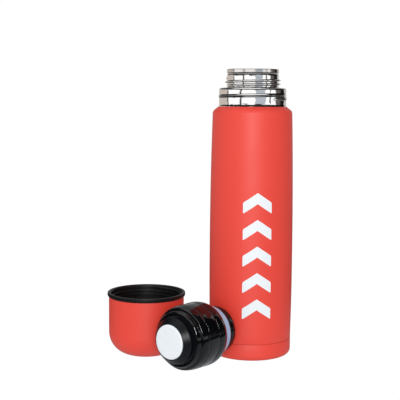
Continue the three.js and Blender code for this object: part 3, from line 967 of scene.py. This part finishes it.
# Light that falls on matt surfaces: its colour, and its strength from the left and the right.
SOFT_LIGHT = (0.62, 0.62, 0.63)
SOFT_SIDES = (1.35, 0.85)
# Strength of the surroundings as polished surfaces see them, and of the plain white backdrop.
MIRRORED_LIGHT = 1.25
BACKDROP_LIGHT = 1.02
# Where the walls give way to the ceiling, as the sine of the height.
WALL_TOP = (0.09, 0.14)


def ramp(tree, position, stops):
    """Adds a colour ramp with its stops, each a position and a colour or a brightness."""
    node = tree.nodes.new("ShaderNodeValToRGB")
    elements = node.color_ramp.elements
    while len(elements) > 1:
        elements.remove(elements[-1])
    for i, (place, color) in enumerate(stops):
        element = elements[0] if i == 0 else elements.new(place)
        element.position = place
        element.color = (*color, 1) if isinstance(color, tuple) else (color, color, color, 1)
    feed(tree, node, {"Fac": position})
    return node.outputs["Color"]


def shade_by_ray(tree, result, lit, mirrored, seen):
    """Shows one shader to the camera, one to polished surfaces and one to all the rest."""
    path = tree.nodes.new("ShaderNodeLightPath")
    others = add(tree, "ShaderNodeMixShader", {
        0: path.outputs["Is Glossy Ray"], 1: lit.outputs[0], 2: mirrored.outputs[0]})
    shown = add(tree, "ShaderNodeMixShader", {
        0: path.outputs["Is Camera Ray"], 1: others.outputs[0], 2: seen.outputs[0]})
    feed(tree, result, {"Surface": shown.outputs[0]})


class FLASK_OT_stage(bpy.types.Operator):
    """Makes the pale floor, the studio surroundings, the soft lights and the camera"""
    bl_idname = "flask.stage"
    bl_label = "Stage"

    def execute(self, context):
        self.floor()
        self.surroundings(context.scene)
        self.lights(context.scene.stage_settings.key_power)
        self.camera(context.scene)
        context.scene.view_settings.view_transform = "Standard"
        return {"FINISHED"}

    def floor(self):
        deselect()
        bpy.ops.mesh.primitive_plane_add(size=FLOOR_SIZE, location=(0, 0, -0.0002))
        floor = bpy.context.object
        floor.name = "pale_floor"
        material = bpy.data.materials.new("pale_floor")
        material.use_nodes = True
        tree = material.node_tree
        tree.nodes.clear()
        coords = tree.nodes.new("ShaderNodeTexCoord")
        reach = add(tree, "ShaderNodeVectorMath", {0: coords.outputs["Object"]},
                    operation="LENGTH")
        edge = FLOOR_SIZE / 2
        share = add(tree, "ShaderNodeMapRange", {"Value": reach.outputs["Value"]},
                    from_min=0, from_max=edge)
        rings = ramp(tree, share.outputs["Result"], [
            (at / edge, color) for at, color in FLOOR_RINGS])
        shade_by_ray(
            tree, tree.nodes.new("ShaderNodeOutputMaterial"),
            lit=add(tree, "ShaderNodeEmission", strength=FLOOR_LIGHT),
            mirrored=add(tree, "ShaderNodeEmission", {"Color": rings}),
            seen=add(tree, "ShaderNodeEmission", strength=BACKDROP_LIGHT))
        floor.data.materials.append(material)

    def surroundings(self, scene):
        world = bpy.data.worlds.new("studio")
        scene.world = world
        world.use_nodes = True
        tree = world.node_tree
        tree.nodes.clear()
        coords = tree.nodes.new("ShaderNodeTexCoord")
        split = add(tree, "ShaderNodeSeparateXYZ", {0: coords.outputs["Generated"]})
        towards = add(tree, "ShaderNodeMath", {0: split.outputs["Y"], 1: -1},
                      operation="MULTIPLY")
        angle = add(tree, "ShaderNodeMath", {0: split.outputs["X"], 1: towards.outputs[0]},
                    operation="ARCTAN2")
        turn = add(tree, "ShaderNodeMapRange", {"Value": angle.outputs[0]},
                   from_min=-math.pi, from_max=math.pi)
        walls, sides, behind = [
            ramp(tree, turn.outputs["Result"], [((at + 180) / 360, color) for at, color in stops])
            for stops in (SURROUNDINGS, CEILING_SIDES, BACK_WALL)]
        overhead = ramp(tree, split.outputs["Z"], [
            (math.sin(math.radians(at)), value) for at, value in CEILING])
        ceiling = add(tree, "ShaderNodeMix", data_type="RGBA", blend_type="MULTIPLY")
        feed(tree, ceiling, {"Factor": 1, "A": overhead, "B": sides})
        upper = add(tree, "ShaderNodeMix", data_type="RGBA", blend_type="LIGHTEN")
        feed(tree, upper, {"Factor": 1, "A": ceiling.outputs["Result"], "B": behind})
        above = add(tree, "ShaderNodeMapRange", {"Value": split.outputs["Z"]},
                    from_min=WALL_TOP[0], from_max=WALL_TOP[1])
        room = add(tree, "ShaderNodeMix", data_type="RGBA")
        feed(tree, room, {
            "Factor": above.outputs["Result"], "A": walls, "B": upper.outputs["Result"]})
        brighter = add(tree, "ShaderNodeMapRange", {"Value": split.outputs["X"]},
                       from_min=-1, from_max=1, to_min=SOFT_SIDES[0], to_max=SOFT_SIDES[1])
        shade_by_ray(
            tree, tree.nodes.new("ShaderNodeOutputWorld"),
            lit=add(tree, "ShaderNodeBackground", {
                "Color": (*SOFT_LIGHT, 1), "Strength": brighter.outputs["Result"]}),
            mirrored=add(tree, "ShaderNodeBackground", {
                "Color": room.outputs["Result"], "Strength": MIRRORED_LIGHT}),
            seen=add(tree, "ShaderNodeBackground", {
                "Color": (1, 1, 1, 1), "Strength": BACKDROP_LIGHT}))

    def lights(self, power):
        """Adds the lights; the mirror-bright pieces show the studio walls and not the key lamp.

        The strip lamp only draws the glints on the stopper's skirt.
        """
        cap = "stopper_cap_shell"
        bright = bpy.data.collections.new("key_leaves_out")
        for name in ("neck_sleeve_steel", "liner_steel", cap):
            bright.objects.link(bpy.data.objects[name])
        for item in bright.collection_objects:
            item.light_linking.link_state = "EXCLUDE"
        skirt = bpy.data.collections.new("strip_lights")
        skirt.objects.link(bpy.data.objects[cap])
        deselect()
        for name, place, aim, width, height, watts, linked in (
                ("key", (-0.05, -1.5, 0.5), (0, 0, 0.14), 0.5, 0.5, power, bright),
                ("strip", (0.45, -1.2, 0.8), (-0.05, -0.05, 0.04), 0.14, 0.7, power, skirt)):
            bpy.ops.object.light_add(type="AREA", location=place)
            light = bpy.context.object
            light.name = name
            light.data.energy = watts
            light.data.shape = "RECTANGLE"
            light.data.size = width
            light.data.size_y = height
            direction = Vector(aim) - Vector(place)
            light.rotation_euler = direction.to_track_quat("-Z", "Y").to_euler()
            light.light_linking.receiver_collection = linked

    def camera(self, scene):
        settings = scene.stage_settings
        bpy.ops.object.camera_add(location=settings.camera_place)
        camera = bpy.context.object
        camera.name = "camera"
        tilt = Matrix.Rotation(math.pi / 2 - settings.camera_pitch, 3, "X")
        roll = Matrix.Rotation(settings.camera_roll, 3, "Z")
        camera.rotation_euler = (tilt @ roll).to_euler()
        camera.data.lens = settings.lens
        camera.data.sensor_width = 36
        scene.camera = camera


class FLASK_PT_panel(bpy.types.Panel):
    """Lists the pieces and their settings"""
    bl_idname = "FLASK_PT_panel"
    bl_label = "Vacuum flask"
    bl_space_type = "VIEW_3D"
    bl_region_type = "UI"
    bl_category = "Flask"

    def draw(self, context):
        for settings in GROUPS:
            for key in SETTINGS[settings].__annotations__:
                self.layout.prop(getattr(context.scene, settings), key)
        for piece in OPERATORS:
            self.layout.operator(piece.bl_idname)


SETTINGS = {
    "flask_sizes": FlaskSizes,
    "cup_sizes": CupSizes,
    "stopper_sizes": StopperSizes,
    "flask_finishes": FlaskFinishes,
    "stage_settings": StageSettings,
}
GROUPS = list(SETTINGS)
OPERATORS = [
    FLASK_OT_body, FLASK_OT_neck, FLASK_OT_liner, FLASK_OT_marks, FLASK_OT_cup,
    FLASK_OT_stopper, FLASK_OT_valve, FLASK_OT_hidden_parts, FLASK_OT_stage,
]


def register():
    for made in [*SETTINGS.values(), *OPERATORS, FLASK_PT_panel]:
        bpy.utils.register_class(made)
    for name, settings in SETTINGS.items():
        setattr(bpy.types.Scene, name, bpy.props.PointerProperty(type=settings))


def unregister():
    for name in SETTINGS:
        delattr(bpy.types.Scene, name)
    for made in reversed([*SETTINGS.values(), *OPERATORS, FLASK_PT_panel]):
        bpy.utils.unregister_class(made)


def main():
    register()
    bpy.ops.flask.body()
    bpy.ops.flask.neck()
    bpy.ops.flask.liner()
    bpy.ops.flask.marks()
    bpy.ops.flask.cup()
    bpy.ops.flask.stopper()
    bpy.ops.flask.valve()
    bpy.ops.flask.hidden_parts()
    bpy.ops.flask.stage()


if __name__ == "__main__":
    main()
